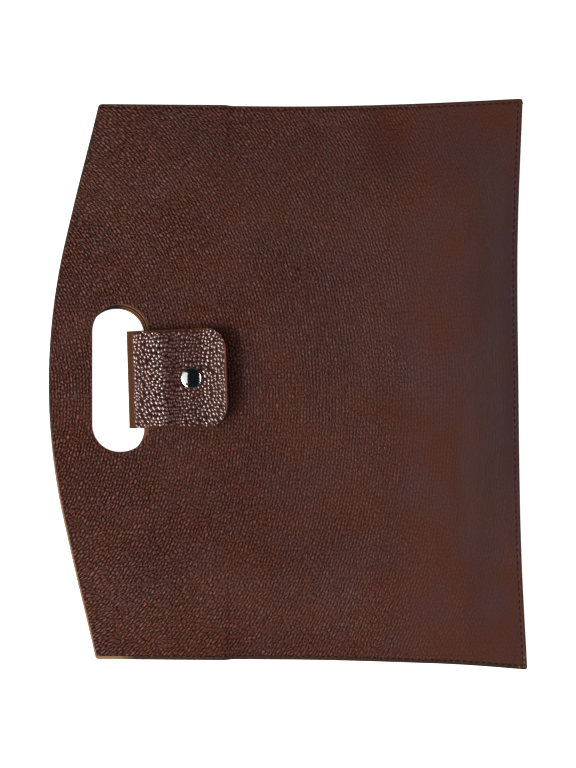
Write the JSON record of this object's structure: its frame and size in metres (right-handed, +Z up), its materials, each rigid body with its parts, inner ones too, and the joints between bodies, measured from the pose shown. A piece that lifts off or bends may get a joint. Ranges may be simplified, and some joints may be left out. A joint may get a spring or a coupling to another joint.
{
  "type": "leather document case",
  "caption": "Flat leather document case, open at its curved mouth, with an oval hand hole through both sides and a tab that folds through the hole and snaps shut on the front.",
  "frame": {"origin": "on the table, under the middle of the outline of the case lying on its back", "axes": "+X across the case, +Y from the sewn foot to the open mouth and the hand hole, +Z up out of the front side with the snapped tab"},
  "size_m": [0.3552, 0.2967, 0.0195],
  "materials": {
    "case_leather": "pebbled dark chestnut brown, satin",
    "facing_leather": "plain brown, matte",
    "tab_leather": "coarsely pebbled brown, glossy",
    "snap_metal": "polished plating"
  },
  "bodies": {
    "root": {"back_panel": "case_leather", "front_panel": "case_leather", "back_facing": "facing_leather", "front_facing": "facing_leather", "closure_tab": "tab_leather", "snap_base": "snap_metal", "snap_stud": "snap_metal", "snap_socket": "snap_metal", "snap_cap": "snap_metal"}
  },
  "joints": []
}
